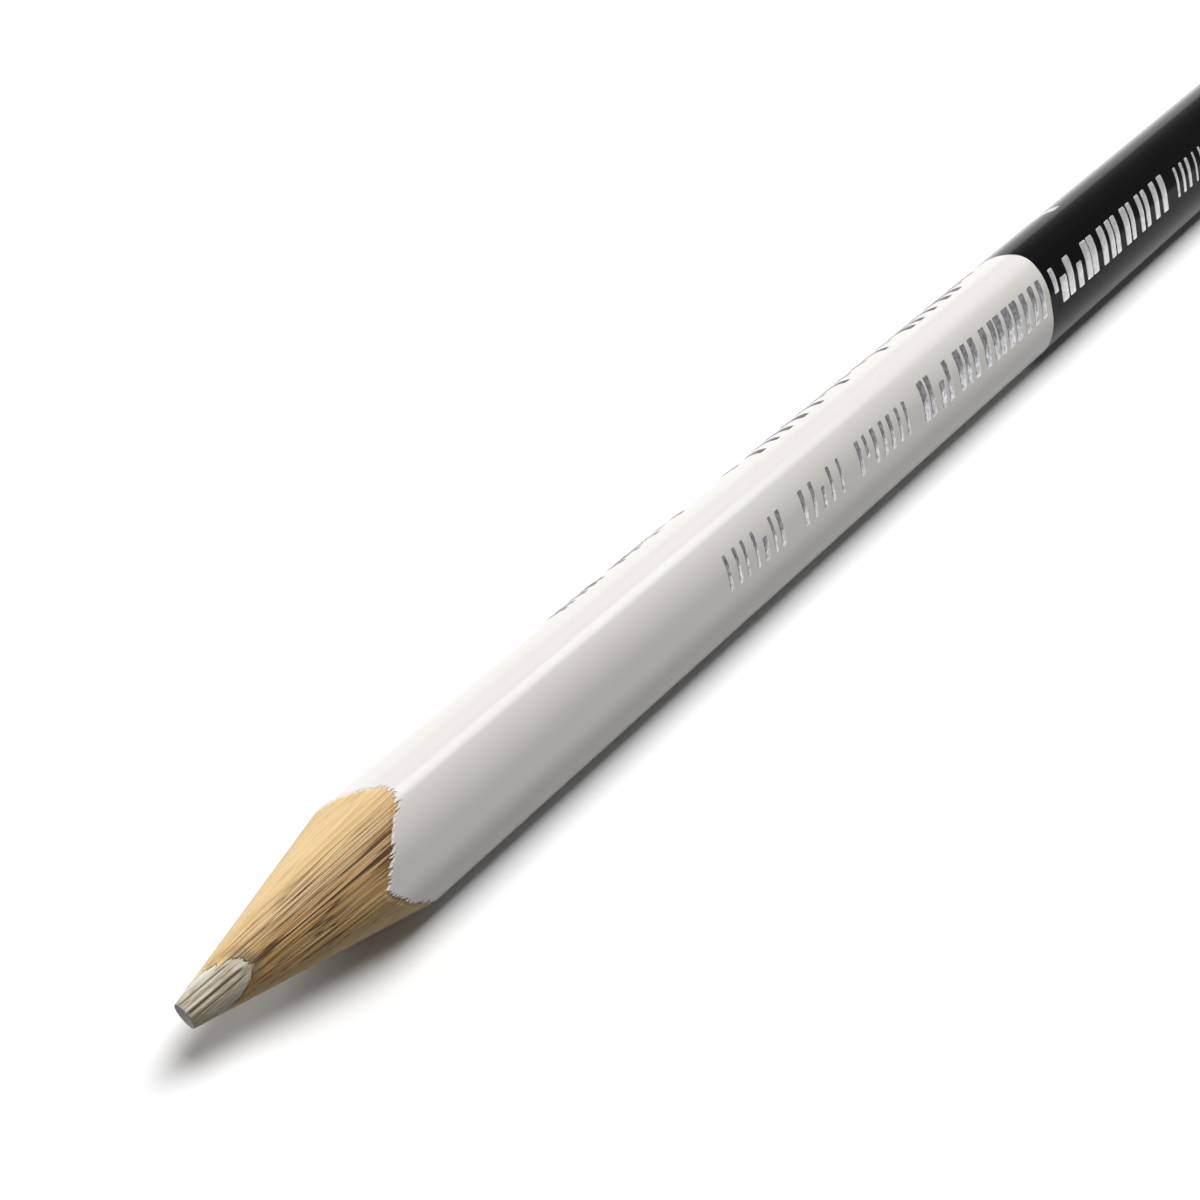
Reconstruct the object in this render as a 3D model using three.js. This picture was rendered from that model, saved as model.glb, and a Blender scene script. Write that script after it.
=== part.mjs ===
// A double-ended marking pencil: a white core and a black core laid end to end
// between two grooved wood slats, shaped to a soft triangle, primed, lacquered
// white on one half and black on the other, and sharpened at both ends.
// Millimetres. X runs along the pencil, the white point towards -X. The pencil
// lies on one of its three faces at Z = 0, with the middle of its length at X = 0.

import * as THREE from 'three';

// Whole pencil
const LENGTH = 175;             // foremost point of the white tip to that of the black tip
const HALVES_MEET_X = 0;        // where white core and lacquer end and black ones begin

// Cross-section over the lacquer: three flat strips, each between crowned
// shoulders that run into a rounded corner
const FACE_DISTANCE = 3.28;     // from the pencil's axis to each flat strip
const FLAT_WIDTH = 1.0;
const CROWN_RADIUS = 4.1;
const CORNER_RADIUS = 1.74;

// Coats on the wood
const LACQUER_THICKNESS = 0.06;
const PRIMER_THICKNESS = 0.03;

// Core and glue
const CORE_DIAMETER = 2.0;
const CORE_RISE = 0.17;         // the core lies this far above the pencil's axis
const CORE_SHIFT = -0.26;       // and this far along Y from it
const BOND_THICKNESS = 0.05;    // glue between a core and its groove
const SEAM_THICKNESS = 0.08;    // glue between the two slats

// Sharpening: the cutter's cone, and how it sits on each end. Angles in degrees
const POINT_HALF_ANGLE = 11.2;
const WHITE_CONE_DROP = 0.39;   // the cone's apex lies below the pencil's axis
const WHITE_CONE_RISE = 1.96;   // and its axis climbs towards the middle
const WHITE_CONE_SWING = -0.77; // and turns a little towards -Y
const BLACK_CONE_DROP = 0.15;
const BLACK_CONE_RISE = 0.8;
const BLACK_CONE_SWING = 0.4;

// Blunt writing ends: width across the flat, how far it leans from square, and
// the direction that it leans, counted round the axis from +Y towards +Z
const WHITE_TIP_WIDTH = 1.4;
const WHITE_FLAT_LEAN = 24;
const WHITE_FLAT_TURN = -64;
const BLACK_TIP_WIDTH = 1.2;
const BLACK_FLAT_LEAN = 12;
const BLACK_FLAT_TURN = -100;

// Facets: steps along each shoulder and round each corner, and sides of a core
const CROWN_STEPS = 7;
const CORNER_STEPS = 10;
const CORE_SIDES = 36;
const WIDEST_RIM = 0.96;        // the blunt end's rim at most, as a share of the core's outline

const TRIANGLE_SIDES = 3;
const FULL_TURN = 2 * Math.PI;
const radians = THREE.MathUtils.degToRad;

// A point of the cross-section, with its angle round the core
function sectionPoint(y, z) {
  return { y, z, turn: Math.atan2(z - CORE_RISE, y - CORE_SHIFT) };
}

const byTurn = (a, b) => a.turn - b.turn;

// The corner's centre lies on the line from the axis to the corner, where its
// circle touches both crowned shoulders from inside
const halfFlat = FLAT_WIDTH / 2;
const shoulderDrop = CROWN_RADIUS - FACE_DISTANCE;
const cornerTurn = Math.PI / TRIANGLE_SIDES;
const halfB = shoulderDrop * Math.cos(cornerTurn) - halfFlat * Math.sin(cornerTurn);
const termC = halfFlat ** 2 + shoulderDrop ** 2 - (CROWN_RADIUS - CORNER_RADIUS) ** 2;
const cornerDistance = Math.sqrt(halfB ** 2 - termC) - halfB;
const crownTurn = Math.atan2(
  cornerDistance * Math.sin(cornerTurn) - halfFlat,
  cornerDistance * Math.cos(cornerTurn) + shoulderDrop,
);

// The outline at a depth under the lacquer's surface, counter-clockwise. Every
// depth has the same centres and normals, so the outlines are parallel
function outline(inset) {
  const points = [];
  const addArc = (face, across, out, radius, from, to, steps, last) => {
    const normal = -Math.PI / 2 + face * FULL_TURN / TRIANGLE_SIDES;
    for (let i = 0; i < steps + last; i++) {
      const angle = from + (to - from) * i / steps;
      const u = across + (radius - inset) * Math.sin(angle);
      const v = out + (radius - inset) * Math.cos(angle);
      const y = v * Math.cos(normal) - u * Math.sin(normal);
      const z = v * Math.sin(normal) + u * Math.cos(normal);
      points.push(sectionPoint(y, z));
    }
  };
  const cornerAcross = cornerDistance * Math.sin(cornerTurn);
  const cornerOut = cornerDistance * Math.cos(cornerTurn);
  for (let face = 0; face < TRIANGLE_SIDES; face++) {
    addArc(face, halfFlat, -shoulderDrop, CROWN_RADIUS, 0, crownTurn, CROWN_STEPS, 0);
    addArc(face, cornerAcross, cornerOut, CORNER_RADIUS, crownTurn, 2 * cornerTurn - crownTurn,
      CORNER_STEPS, 0);
    addArc(face + 1, -halfFlat, -shoulderDrop, CROWN_RADIUS, -crownTurn, 0, CROWN_STEPS, 1);
  }
  return points.sort(byTurn);
}

// A round outline about the core's axis
function roundOutline(radius) {
  const points = [];
  for (let i = 0; i < CORE_SIDES; i++) {
    const angle = (i + 0.5) * FULL_TURN / CORE_SIDES;
    const y = CORE_SHIFT + radius * Math.cos(angle);
    points.push(sectionPoint(y, CORE_RISE + radius * Math.sin(angle)));
  }
  return points.sort(byTurn);
}

// The two planes where slat meets seam glue, level with the core's middle
const seamTop = CORE_RISE + SEAM_THICKNESS / 2;
const seamBottom = CORE_RISE - SEAM_THICKNESS / 2;
const SNAP = 0.004;             // a point this close to a seam plane is laid on it

// The same outline with a point wherever it crosses a seam plane
function cutAtSeam(points) {
  const levels = [seamTop, seamBottom];
  const snapped = points.map((point) => {
    const level = levels.find((z) => Math.abs(point.z - z) < SNAP);
    return level === undefined ? point : sectionPoint(point.y, level);
  });
  const crossings = [];
  snapped.forEach((point, i) => {
    const next = snapped[(i + 1) % snapped.length];
    for (const level of levels) {
      if ((point.z - level) * (next.z - level) < 0) {
        const share = (level - point.z) / (next.z - point.z);
        crossings.push(sectionPoint(point.y + (next.y - point.y) * share, level));
      }
    }
  });
  return [...snapped, ...crossings].sort(byTurn);
}

// The stretch of an outline that a test keeps, in order from a start angle
function stretch(points, keep, start) {
  return points
    .filter(keep)
    .map((point) => ({ ...point, turn: (point.turn - start + 2 * FULL_TURN) % FULL_TURN }))
    .sort(byTurn);
}

// One sharpened end. depth is counted from the cone's apex towards the middle
function sharpenedEnd({ toward, drop, rise, swing, tipWidth, flatLean, flatTurn, core }) {
  const apex = new THREE.Vector3(0, 0, -drop);
  const axis = new THREE.Vector3(1, Math.tan(radians(swing)), Math.tan(radians(rise))).normalize();
  const halfAngle = radians(POINT_HALF_ANGLE);
  const flatCentre = axis.clone().multiplyScalar(tipWidth / 2 / Math.tan(halfAngle)).add(apex);
  const lean = radians(flatLean);
  const flatNormal = new THREE.Vector3(
    -Math.cos(lean),
    Math.sin(lean) * Math.cos(radians(flatTurn)),
    Math.sin(lean) * Math.sin(radians(flatTurn)),
  );

  // Depth at which the cone passes over a point of the cross-section
  const coneDepth = ({ y, z }) => {
    const squareCosine = Math.cos(halfAngle) ** 2;
    const dy = y - apex.y;
    const dz = z - apex.z;
    const along = dy * axis.y + dz * axis.z;
    const a = axis.x ** 2 - squareCosine;
    const b = 2 * axis.x * along;
    const c = along ** 2 - squareCosine * (dy ** 2 + dz ** 2);
    return (-b + Math.sqrt(b ** 2 - 4 * a * c)) / (2 * a);
  };

  const flatDepth = ({ y, z }) => flatCentre.x
    - ((y - flatCentre.y) * flatNormal.y + (z - flatCentre.z) * flatNormal.z) / flatNormal.x;

  const depth = (point) => Math.max(coneDepth(point), flatDepth(point));

  // Rim of the blunt end: each point of the core's outline follows the cone to
  // the flat, and where the flat runs on into the wood it stops just inside
  const toFlat = flatNormal.dot(flatCentre.clone().sub(apex));
  const rim = core.map((point) => {
    const reach = new THREE.Vector3(coneDepth(point), point.y, point.z).sub(apex);
    const share = Math.min(toFlat / flatNormal.dot(reach), WIDEST_RIM);
    return { y: apex.y + reach.y * share, z: apex.z + reach.z * share, turn: point.turn };
  });
  const nose = Math.min(...rim.map(depth), ...core.map(depth));
  const at = (point) => toward * (LENGTH / 2 + nose - depth(point));
  return { at, rim };
}

// A closed solid that fills a cross-section between two end surfaces, left at
// the smaller X. rings holds the section's rows of points from the outside in
function solidBetween(rings, left, right, { closed = true, filled = false } = {}) {
  const points = rings.flat();
  const starts = rings.map((ring, r) => rings.slice(0, r).reduce((sum, row) => sum + row.length, 0));
  const section = [];

  // Between two rows the triangles always move on the row that has turned less
  for (let r = 0; r + 1 < rings.length; r++) {
    const [outer, inner] = [rings[r], rings[r + 1]];
    const outerSteps = outer.length - (closed ? 0 : 1);
    const innerSteps = inner.length - (closed ? 0 : 1);
    const outerId = (i) => starts[r] + i % outer.length;
    const innerId = (j) => starts[r + 1] + j % inner.length;
    const turnAt = (row, i) => row[i % row.length].turn + (i < row.length ? 0 : FULL_TURN);
    let i = 0;
    let j = 0;
    while (i < outerSteps || j < innerSteps) {
      const outerTurn = i < outerSteps ? turnAt(outer, i + 1) : Infinity;
      const innerTurn = j < innerSteps ? turnAt(inner, j + 1) : Infinity;
      if (outerTurn <= innerTurn) {
        section.push([outerId(i), outerId(i + 1), innerId(j)]);
        i += 1;
      } else {
        section.push([innerId(j), outerId(i), innerId(j + 1)]);
        j += 1;
      }
    }
  }

  const last = rings.length - 1;
  const lastRing = rings[last];
  if (filled) {
    for (let i = 1; i + 1 < lastRing.length; i++) {
      section.push([starts[last], starts[last] + i, starts[last] + i + 1]);
    }
  }

  // Edges of the section, walked with the material on the left
  const edges = [];
  const walk = (ring, r, backwards) => {
    for (let i = 0; i < ring.length - (closed ? 0 : 1); i++) {
      const edge = [starts[r] + i, starts[r] + (i + 1) % ring.length];
      edges.push(backwards ? edge.reverse() : edge);
    }
  };
  walk(rings[0], 0, false);
  if (!filled) walk(lastRing, last, true);
  if (!closed) {
    edges.push([rings[0].length - 1, starts[last] + lastRing.length - 1]);
    edges.push([starts[last], 0]);
  }

  const leftId = (id) => 2 * id;
  const rightId = (id) => 2 * id + 1;
  const index = [];
  for (const [a, b, c] of section) {
    index.push(rightId(a), rightId(b), rightId(c));
    index.push(leftId(a), leftId(c), leftId(b));
  }
  for (const [a, b] of edges) {
    index.push(leftId(a), leftId(b), rightId(b));
    index.push(leftId(a), rightId(b), rightId(a));
  }
  const positions = points.flatMap((point) => [
    left(point), point.y, point.z,
    right(point), point.y, point.z,
  ]);
  const geometry = new THREE.BufferGeometry();
  geometry.setAttribute('position', new THREE.Float32BufferAttribute(positions, 3));
  geometry.setIndex(index);
  geometry.computeVertexNormals();
  return geometry;
}

// Cross-sections, from the lacquer's surface in to the core
const lacquerOutline = outline(0);
const primerOutline = outline(LACQUER_THICKNESS);
const woodOutline = cutAtSeam(outline(LACQUER_THICKNESS + PRIMER_THICKNESS));
const grooveOutline = cutAtSeam(roundOutline(CORE_DIAMETER / 2 + BOND_THICKNESS));
const coreOutline = roundOutline(CORE_DIAMETER / 2);

const whiteEnd = sharpenedEnd({
  toward: -1,
  drop: WHITE_CONE_DROP,
  rise: WHITE_CONE_RISE,
  swing: WHITE_CONE_SWING,
  tipWidth: WHITE_TIP_WIDTH,
  flatLean: WHITE_FLAT_LEAN,
  flatTurn: WHITE_FLAT_TURN,
  core: coreOutline,
});
const blackEnd = sharpenedEnd({
  toward: 1,
  drop: BLACK_CONE_DROP,
  rise: BLACK_CONE_RISE,
  swing: BLACK_CONE_SWING,
  tipWidth: BLACK_TIP_WIDTH,
  flatLean: BLACK_FLAT_LEAN,
  flatTurn: BLACK_FLAT_TURN,
  core: coreOutline,
});
const middle = () => HALVES_MEET_X;

// Finishes
const basswood = { color: 0xd3ac74, roughness: 0.75, metalness: 0 };
const driedGlue = { color: 0xd9c79c, roughness: 0.5, metalness: 0 };
const whitePigment = { color: 0xc9c6ba, roughness: 0.8, metalness: 0 };
const blackPigment = { color: 0x2c2b2b, roughness: 0.7, metalness: 0 };
const chalkPrimer = { color: 0xe2ded4, roughness: 0.7, metalness: 0 };
const whiteLacquer = { color: 0xeeebe9, roughness: 0.2, metalness: 0 };
const blackLacquer = { color: 0x17171a, roughness: 0.16, metalness: 0 };

// The group's origin is the pencil's axis, lifted so that the lowest face lies at Z = 0
const pencil = new THREE.Group();
pencil.position.z = FACE_DISTANCE;

function addPiece(name, geometry, finish) {
  const mesh = new THREE.Mesh(geometry, new THREE.MeshStandardMaterial({ ...finish, flatShading: true }));
  mesh.name = name;
  pencil.add(mesh);
}

// Two wood slats, each with half of the groove, from one cone to the other
function slat(keep, start) {
  const rings = [stretch(woodOutline, keep, start), stretch(grooveOutline, keep, start)];
  return solidBetween(rings, whiteEnd.at, blackEnd.at, { closed: false });
}
addPiece('upper_slat', slat((point) => point.z >= seamTop, -Math.PI / 2), basswood);
addPiece('lower_slat', slat((point) => point.z <= seamBottom, Math.PI / 2), basswood);

// The glue line between the slats, one strip on each side of the core
function seamGlue(side, start) {
  const keep = (point) => (point.y - CORE_SHIFT) * side > 0
    && point.z <= seamTop && point.z >= seamBottom;
  const rings = [stretch(woodOutline, keep, start), stretch(grooveOutline, keep, start)];
  return solidBetween(rings, whiteEnd.at, blackEnd.at, { closed: false });
}
addPiece('seam_glue_back', seamGlue(1, -Math.PI), driedGlue);
addPiece('seam_glue_front', seamGlue(-1, 0), driedGlue);

// The glue that beds each core in the groove, and the two cores, end to end
const bondRings = [grooveOutline, coreOutline];
addPiece('white_core_bond', solidBetween(bondRings, whiteEnd.at, middle), driedGlue);
addPiece('black_core_bond', solidBetween(bondRings, middle, blackEnd.at), driedGlue);
addPiece('white_core',
  solidBetween([coreOutline, whiteEnd.rim], whiteEnd.at, middle, { filled: true }), whitePigment);
addPiece('black_core',
  solidBetween([coreOutline, blackEnd.rim], middle, blackEnd.at, { filled: true }), blackPigment);

// Primer over the whole wood, and the two lacquers over the primer
addPiece('primer_coat',
  solidBetween([primerOutline, woodOutline], whiteEnd.at, blackEnd.at), chalkPrimer);
const lacquerRings = [lacquerOutline, primerOutline];
addPiece('white_lacquer', solidBetween(lacquerRings, whiteEnd.at, middle), whiteLacquer);
addPiece('black_lacquer', solidBetween(lacquerRings, middle, blackEnd.at), blackLacquer);

export default pencil;
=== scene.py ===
import math

import bpy
import numpy as np
from mathutils import Matrix, Vector


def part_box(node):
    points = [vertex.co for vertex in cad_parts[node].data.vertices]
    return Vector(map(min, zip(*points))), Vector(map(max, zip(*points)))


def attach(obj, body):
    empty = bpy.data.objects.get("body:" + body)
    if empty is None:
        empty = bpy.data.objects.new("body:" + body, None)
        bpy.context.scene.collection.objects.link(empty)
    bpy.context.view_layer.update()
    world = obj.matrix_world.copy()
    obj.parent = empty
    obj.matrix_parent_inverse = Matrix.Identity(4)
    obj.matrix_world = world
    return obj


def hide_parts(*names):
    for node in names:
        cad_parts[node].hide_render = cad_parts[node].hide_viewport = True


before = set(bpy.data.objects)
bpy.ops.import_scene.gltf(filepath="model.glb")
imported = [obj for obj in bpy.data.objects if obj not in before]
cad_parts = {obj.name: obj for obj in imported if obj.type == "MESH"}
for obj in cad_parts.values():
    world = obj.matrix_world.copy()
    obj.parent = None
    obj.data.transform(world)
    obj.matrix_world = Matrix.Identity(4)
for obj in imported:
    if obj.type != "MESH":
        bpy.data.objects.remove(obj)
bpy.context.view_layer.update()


# Wood casing: two basswood slats with a groove in each, glued together round the core and
# planed to a three-sided bar with crowned faces. The sharpener has cut each end to a cone
# and left it ridged and cracked, because its blade tears the fibres as much as it cuts them.

# Lengths are millimetres until put_mesh turns them into metres, and Y and Z are counted from
# the bar's axis, which lies FACE_DISTANCE above the table
MM = 0.001
FACE_DISTANCE = 3.28
FLAT_WIDTH = 1.0
CROWN_RADIUS = 4.1
CORNER_RADIUS = 1.74
LACQUER_THICKNESS = 0.06
PRIMER_THICKNESS = 0.03
BOND_THICKNESS = 0.05
SEAM_THICKNESS = 0.08
CONE_HALF_ANGLE = math.radians(11.2)
THIRD = 2 * math.pi / 3
ARC_STEPS = 1500

core_low, core_high = (np.array(corner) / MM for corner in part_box("black_core"))
CORE_Y = (core_low[1] + core_high[1]) / 2
CORE_Z = (core_low[2] + core_high[2]) / 2 - FACE_DISTANCE
CORE_RADIUS = (core_high[2] - core_low[2]) / 2
JOINT_X = core_low[0]

# How each cone sits on the bar, and the blunt flat that writing has worn on its core. The
# side is the sign of X. The apex lies drop below the bar's axis. Angles are in degrees
WHITE_END = {
    "side": -1, "core": "white_core", "drop": 0.39, "rise": 1.96, "swing": -0.77,
    "tip_width": 1.4, "flat_lean": 24, "flat_turn": -64,
}
BLACK_END = {
    "side": 1, "core": "black_core", "drop": 0.15, "rise": 0.8, "swing": 0.4,
    "tip_width": 1.2, "flat_lean": 12, "flat_turn": -100,
}


def bar_outline(count):
    """Points (y, z) spaced evenly along the bar's outline, and the outward normals there.

    One third runs from the middle of a face to the middle of the next: half of the flat
    strip, a crown arc, the corner arc and the next crown arc. A point on an arc is the
    arc's centre plus its radius times (sin, cos) of the angle by which its normal turns.
    """
    half_flat, drop = FLAT_WIDTH / 2, CROWN_RADIUS - FACE_DISTANCE
    half_b = (drop - half_flat * math.sqrt(3)) / 2
    reach = math.sqrt(half_b**2 - half_flat**2 - drop**2 + (CROWN_RADIUS - CORNER_RADIUS)**2)
    corner = (reach - half_b) * np.array([math.sin(THIRD / 2), math.cos(THIRD / 2)])
    crown_turn = math.atan2(corner[0] - half_flat, corner[1] + drop)

    turn = np.linspace(0, THIRD, ARC_STEPS)
    across = np.stack([np.cos(turn), -np.sin(turn)], axis=1)
    normal = np.stack([np.sin(turn), np.cos(turn)], axis=1)
    next_centre = -half_flat * across[-1] - drop * normal[-1]
    on_first, on_next = turn < crown_turn, turn > THIRD - crown_turn
    centre = np.where(on_first[:, None], [half_flat, -drop], corner)
    centre = np.where(on_next[:, None], next_centre, centre)
    radius = np.where(on_first | on_next, CROWN_RADIUS, CORNER_RADIUS)
    third = centre + radius[:, None] * normal
    third = np.vstack([[0, FACE_DISTANCE], third, FACE_DISTANCE * normal[-1]])
    normal = np.vstack([normal[0], normal, normal[-1]])

    turned = [np.array([[math.cos(a), math.sin(a)], [math.sin(a), -math.cos(a)]])
              for a in (0, THIRD, 2 * THIRD)]
    dense = np.vstack([third @ m for m in turned])
    dense_normal = np.vstack([normal @ m for m in turned])
    run = np.concatenate([[0], np.cumsum(np.linalg.norm(np.diff(dense, axis=0), axis=1))])
    at = np.arange(count) / count * run[-1]
    points = np.stack([np.interp(at, run, dense[:, i]) for i in (0, 1)], axis=1)
    normals = np.stack([np.interp(at, run, dense_normal[:, i]) for i in (0, 1)], axis=1)
    return points, normals / np.linalg.norm(normals, axis=1)[:, None]


def cone_axis(end):
    """Unit vector from the cone's apex down its axis: the bar's axis, leaned sideways by the
    tangent of swing and upwards by the tangent of rise."""
    lean = np.array([1, math.tan(math.radians(end["swing"])), math.tan(math.radians(end["rise"]))])
    return lean / np.linalg.norm(lean)


def cone_depth(end, y, z):
    """Depth behind the apex at which the cone passes over (y, z): the larger root of the
    cone's quadratic, which says that the angle to the cone's axis is the cone's half angle."""
    ax, ay, az = cone_axis(end)
    square = math.cos(CONE_HALF_ANGLE)**2
    dy, dz = y, z + end["drop"]
    along = dy * ay + dz * az
    a, b = ax**2 - square, 2 * ax * along
    c = along**2 - square * (dy**2 + dz**2)
    return (-b + np.sqrt(b**2 - 4 * a * c)) / (2 * a)


def flat_plane(end):
    """A point of the blunt flat and its outward normal, both counted from the cone's apex."""
    point = cone_axis(end) * end["tip_width"] / 2 / math.tan(CONE_HALF_ANGLE)
    tilt, turn = math.radians(end["flat_lean"]), math.radians(end["flat_turn"])
    sideways = math.sin(tilt)
    normal = np.array([-math.cos(tilt), sideways * math.cos(turn), sideways * math.sin(turn)])
    return point, normal


# How far the flat's rim is rounded, and the largest share of the core's radius that it takes
TIP_ROUNDING = 0.05
WIDEST_RIM = 0.96


def cut_x(end, y, z, height=0):
    """X of the sharpened surface over (y, z): the deeper of the cone and the blunt flat,
    rounded where they meet, and raised by a height that is measured square to the surface."""
    point, normal = flat_plane(end)
    flat = point[0] - ((y - point[1]) * normal[1] + (z + end["drop"] - point[2]) * normal[2]) / normal[0]
    cone = cone_depth(end, y, z)
    apart = np.sqrt((cone - flat)**2 + TIP_ROUNDING**2)
    on_cone = (1 + (cone - flat) / apart) / 2
    raised = height * (1 + on_cone * (1 / math.sin(CONE_HALF_ANGLE) - 1))
    return end["side"] * (end["apex"] - (cone + flat + apart) / 2 + raised)


def worn_rim(end, edge):
    """Rim of the blunt flat, counted from the cone's apex: each point of the core's edge is
    drawn along the cone to the flat, or stops just inside the edge where the flat runs on."""
    point, normal = flat_plane(end)
    y, z = edge[..., 0], edge[..., 1]
    reach = np.stack([cone_depth(end, y, z), y, z + end["drop"]], axis=-1)
    share = np.minimum((point @ normal) / (reach @ normal), WIDEST_RIM)
    return reach * share[..., None]


# Each apex is placed so that the foremost point of its rim lies where the core's box ends
TURN_STEPS = 720
all_round = np.linspace(-math.pi, math.pi, TURN_STEPS, endpoint=False)
round_core = CORE_RADIUS * np.stack([np.cos(all_round), np.sin(all_round)], axis=-1) + [CORE_Y, CORE_Z]
for end in (WHITE_END, BLACK_END):
    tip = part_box(end["core"])[0 if end["side"] < 0 else 1].x / MM
    rim = worn_rim(end, round_core)
    end["apex"] = 0.0
    end["apex"] = abs(tip) + np.abs(cut_x(end, rim[:, 1], rim[:, 2] - end["drop"])).min()


NOISE_CELLS = 64


def value_noise(u, v, w, seed):
    """Random values at whole u, v and w, joined by a smooth step, from 0 to 1. The pattern
    repeats after NOISE_CELLS."""
    table = np.random.default_rng(seed).random((NOISE_CELLS, NOISE_CELLS, NOISE_CELLS))
    axes = np.stack(np.broadcast_arrays(u, v, w))
    cell = np.floor(axes).astype(int)
    part = axes - cell
    part = part * part * (3 - 2 * part)
    total = 0
    for corner in np.ndindex(2, 2, 2):
        pick = tuple((cell[i] + corner[i]) % NOISE_CELLS for i in range(3))
        weight = np.prod([part[i] if corner[i] else 1 - part[i] for i in range(3)], axis=0)
        total = total + weight * table[pick]
    return total


# Fibres run along the bar, in thin layers that stand on edge as the pencil lies. Spacings
# are those at a depth of MIDDLE_DEPTH behind the apex. All relief dies out over EDGE_FADE
# where wood and core meet
LAYER_NORMAL = math.radians(22)
MIDDLE_DEPTH = 12
LEAST_DEPTH = 3
FIBRE_FAN = 0.35
FIBRE_WIDTH_RATIO = 8
FIBRE_LENGTH = 5
RIDGE_SPACINGS = (0.24, 0.11, 0.06)
RIDGE_SHARES = (0.25, 0.4, 0.35)
RIDGE_HEIGHT = 0.08
CRACK_SPACING = 0.055
CRACK_LENGTH = 4
CRACK_DEPTH = 0.03
CRACK_SHARPNESS = 5
CRACK_FROM = 0.82
PATCH_SHARE = 0.25
PATCH_SIZE = (0.7, 1.5, 5)
EDGE_FADE = 0.12

# Where the blade has torn less: on the side that it cut with the grain, from CLEAN_FROM
# across on, and where the layers lie level with the cone, from a cosine of LEVEL_FROM on
CLEAN_FROM = 0.6
CLEAN_WIDTH = 0.9
CLEAN_SHARE = 0.75
LEVEL_FROM = 0.72
LEVEL_WIDTH = 0.2
LEVEL_SHARE = 0.8


def grain_place(end, y, z):
    """Place in the grain of a point on the cone: across the layers, along them and down the
    bar. The second is multiplied by MIDDLE_DEPTH over the depth, and the first by the same to
    the power FIBRE_FAN, so that a streak runs nearly straight down the cone on every side."""
    depth = np.maximum(cone_depth(end, y, z), LEAST_DEPTH)
    across = y * math.cos(LAYER_NORMAL) + z * math.sin(LAYER_NORMAL)
    along = (z * math.cos(LAYER_NORMAL) - y * math.sin(LAYER_NORMAL)) * MIDDLE_DEPTH / depth
    return across * (MIDDLE_DEPTH / depth)**FIBRE_FAN, along, depth


def torn_share(end, y, z):
    """How much the blade has torn the fibres: fully, less on the side that it cut with the
    grain, and less where the layers lie level with the cone, at a cosine near 1 between the
    layers' normal and the direction out from the cone's axis."""
    across = grain_place(end, y, z)[0]
    rise = z + end["drop"]
    cosine = np.abs(y * math.cos(LAYER_NORMAL) + rise * math.sin(LAYER_NORMAL)) / np.hypot(y, rise)
    clean = CLEAN_SHARE * np.clip((across - CLEAN_FROM) / CLEAN_WIDTH, 0, 1)
    level = LEVEL_SHARE * np.clip((cosine - LEVEL_FROM) / LEVEL_WIDTH, 0, 1)
    return (1 - clean) * (1 - level)


def wood_surface(end, y, z):
    """Height of the cut wood over (y, z) in millimetres, and how deep it lies in a crack, 0 to 1.

    Ridges are value noise at three spacings. Cracks are the peaks of another noise, narrow
    across the layers and long down the bar, in the patches where a third one is high. Both
    are weaker where the blade has torn less, and die out at the groove, where the wood was
    pressed against the core."""
    across, along, depth = grain_place(end, y, z)
    seed = 20 + 10 * end["side"]
    ridges = 0
    for octave, (spacing, share) in enumerate(zip(RIDGE_SPACINGS, RIDGE_SHARES)):
        ridges = ridges + share * value_noise(
            across / spacing, along / spacing / FIBRE_WIDTH_RATIO, depth / FIBRE_LENGTH, seed + octave)
    line = value_noise(across / CRACK_SPACING, along / CRACK_SPACING / FIBRE_WIDTH_RATIO,
                       depth / CRACK_LENGTH, seed + 4)
    patch = value_noise(across / PATCH_SIZE[0], along / PATCH_SIZE[1], depth / PATCH_SIZE[2], seed + 5)
    crack = np.clip(CRACK_SHARPNESS * (line + PATCH_SHARE * patch - CRACK_FROM), 0, 1)
    gap = np.hypot(y - CORE_Y, z - CORE_Z) - CORE_RADIUS - BOND_THICKNESS
    open_share = np.clip(gap / EDGE_FADE, 0, 1)
    torn = torn_share(end, y, z)
    return open_share * torn * (RIDGE_HEIGHT * (ridges - 0.5) - CRACK_DEPTH * crack), crack * torn


def distance_to(curve, turns, y, z):
    """Distance from (y, z) to a closed curve round it, in each direction, read off its points."""
    dy, dz = curve[:, 0] - y, curve[:, 1] - z
    return np.interp(turns, np.arctan2(dz, dy), np.hypot(dy, dz), period=2 * math.pi)


# The groove is a little oval, and a hard layer of the wood has dented the core on one side.
# A wave of the edge is read off a circle in the noise, given by its centre, radius and seed
OVAL_TURN = math.radians(125)
OVAL_SHARE = 0.035
DENT_TURN = math.radians(60)
DENT_WIDTH = math.radians(6)
DENT_DEPTH = 0.13
EDGE_WAVES = ((9, 7, 32), (20, 15, 33))
EDGE_ROUGHNESS = 0.05


def core_edge(turns, wall):
    """Points of the core's outline, a wall further out: a circle made oval by the cosine of
    twice the angle, dented by a bell curve, and rough by a few hundredths."""
    rough = 0
    for middle, radius, seed in EDGE_WAVES:
        u, v = middle + radius * np.cos(turns), middle + radius * np.sin(turns)
        rough = rough + value_noise(u, v, 0.5, seed) - 0.5
    off_dent = (turns - DENT_TURN + math.pi) % (2 * math.pi) - math.pi
    dent = DENT_DEPTH * np.exp(-(off_dent / DENT_WIDTH)**2)
    oval = OVAL_SHARE * np.cos(2 * (turns - OVAL_TURN))
    reach = CORE_RADIUS + wall + oval - dent + EDGE_ROUGHNESS * rough
    return np.stack([CORE_Y + reach * np.cos(turns), CORE_Z + reach * np.sin(turns)], axis=-1)


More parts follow.
